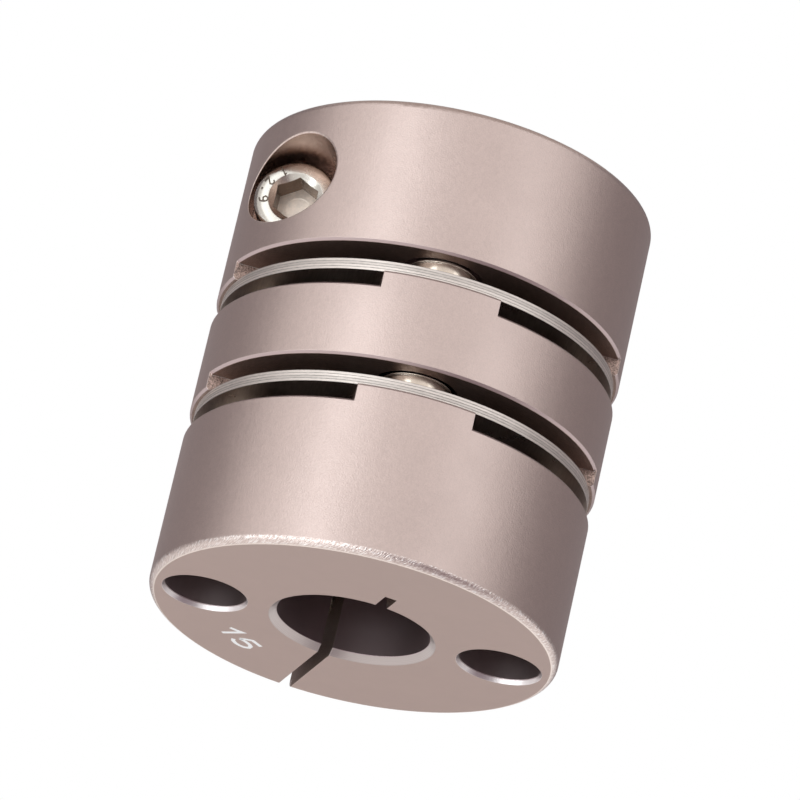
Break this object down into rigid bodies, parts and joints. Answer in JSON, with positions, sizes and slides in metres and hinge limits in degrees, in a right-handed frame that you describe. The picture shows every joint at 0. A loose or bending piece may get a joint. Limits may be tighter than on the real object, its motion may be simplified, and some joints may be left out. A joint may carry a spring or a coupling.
{
  "type": "double disc shaft coupling",
  "caption": "Flexible disc coupling that joins round shafts end to end: slit clamping hubs, spring steel disc packs and a centre spacer with recessed pads.",
  "frame": {"origin": "centre of the end face of the lower hub, on which the coupling stands", "axes": "+Z along the shaft axis to the upper hub; the pads of the lower hub lie on the Y axis and its access holes on the X axis"},
  "size_m": [0.04, 0.04, 0.047],
  "materials": {
    "anodised_aluminium": "bead blasted and anodised in a rose champagne tone, satin",
    "anodised_spacer": "the same blasted and anodised finish, satin",
    "spring_steel": "rolled stainless spring steel, bright",
    "stainless_steel": "bright stainless steel",
    "pack_screw_steel": "plain steel, lightly oiled",
    "washer_steel": "ground steel, bright"
  },
  "bodies": {
    "root": {"lower_hub": "anodised_aluminium", "upper_hub": "anodised_aluminium", "centre_spacer": "anodised_spacer", "lower_disc_1": "spring_steel", "lower_disc_2": "spring_steel", "lower_disc_3": "spring_steel", "lower_disc_4": "spring_steel", "lower_clamp_screw": "stainless_steel", "lower_hub_screw_1": "pack_screw_steel", "lower_hub_washer_1": "washer_steel", "lower_hub_screw_2": "pack_screw_steel", "lower_hub_washer_2": "washer_steel", "lower_spacer_screw_1": "pack_screw_steel", "lower_spacer_washer_1": "washer_steel", "lower_spacer_screw_2": "pack_screw_steel", "lower_spacer_washer_2": "washer_steel", "upper_disc_1": "spring_steel", "upper_disc_2": "spring_steel", "upper_disc_3": "spring_steel", "upper_disc_4": "spring_steel", "upper_clamp_screw": "stainless_steel", "upper_hub_screw_1": "pack_screw_steel", "upper_hub_washer_1": "washer_steel", "upper_hub_screw_2": "pack_screw_steel", "upper_hub_washer_2": "washer_steel", "upper_spacer_screw_1": "pack_screw_steel", "upper_spacer_washer_1": "washer_steel", "upper_spacer_screw_2": "pack_screw_steel", "upper_spacer_washer_2": "washer_steel"}
  },
  "joints": []
}
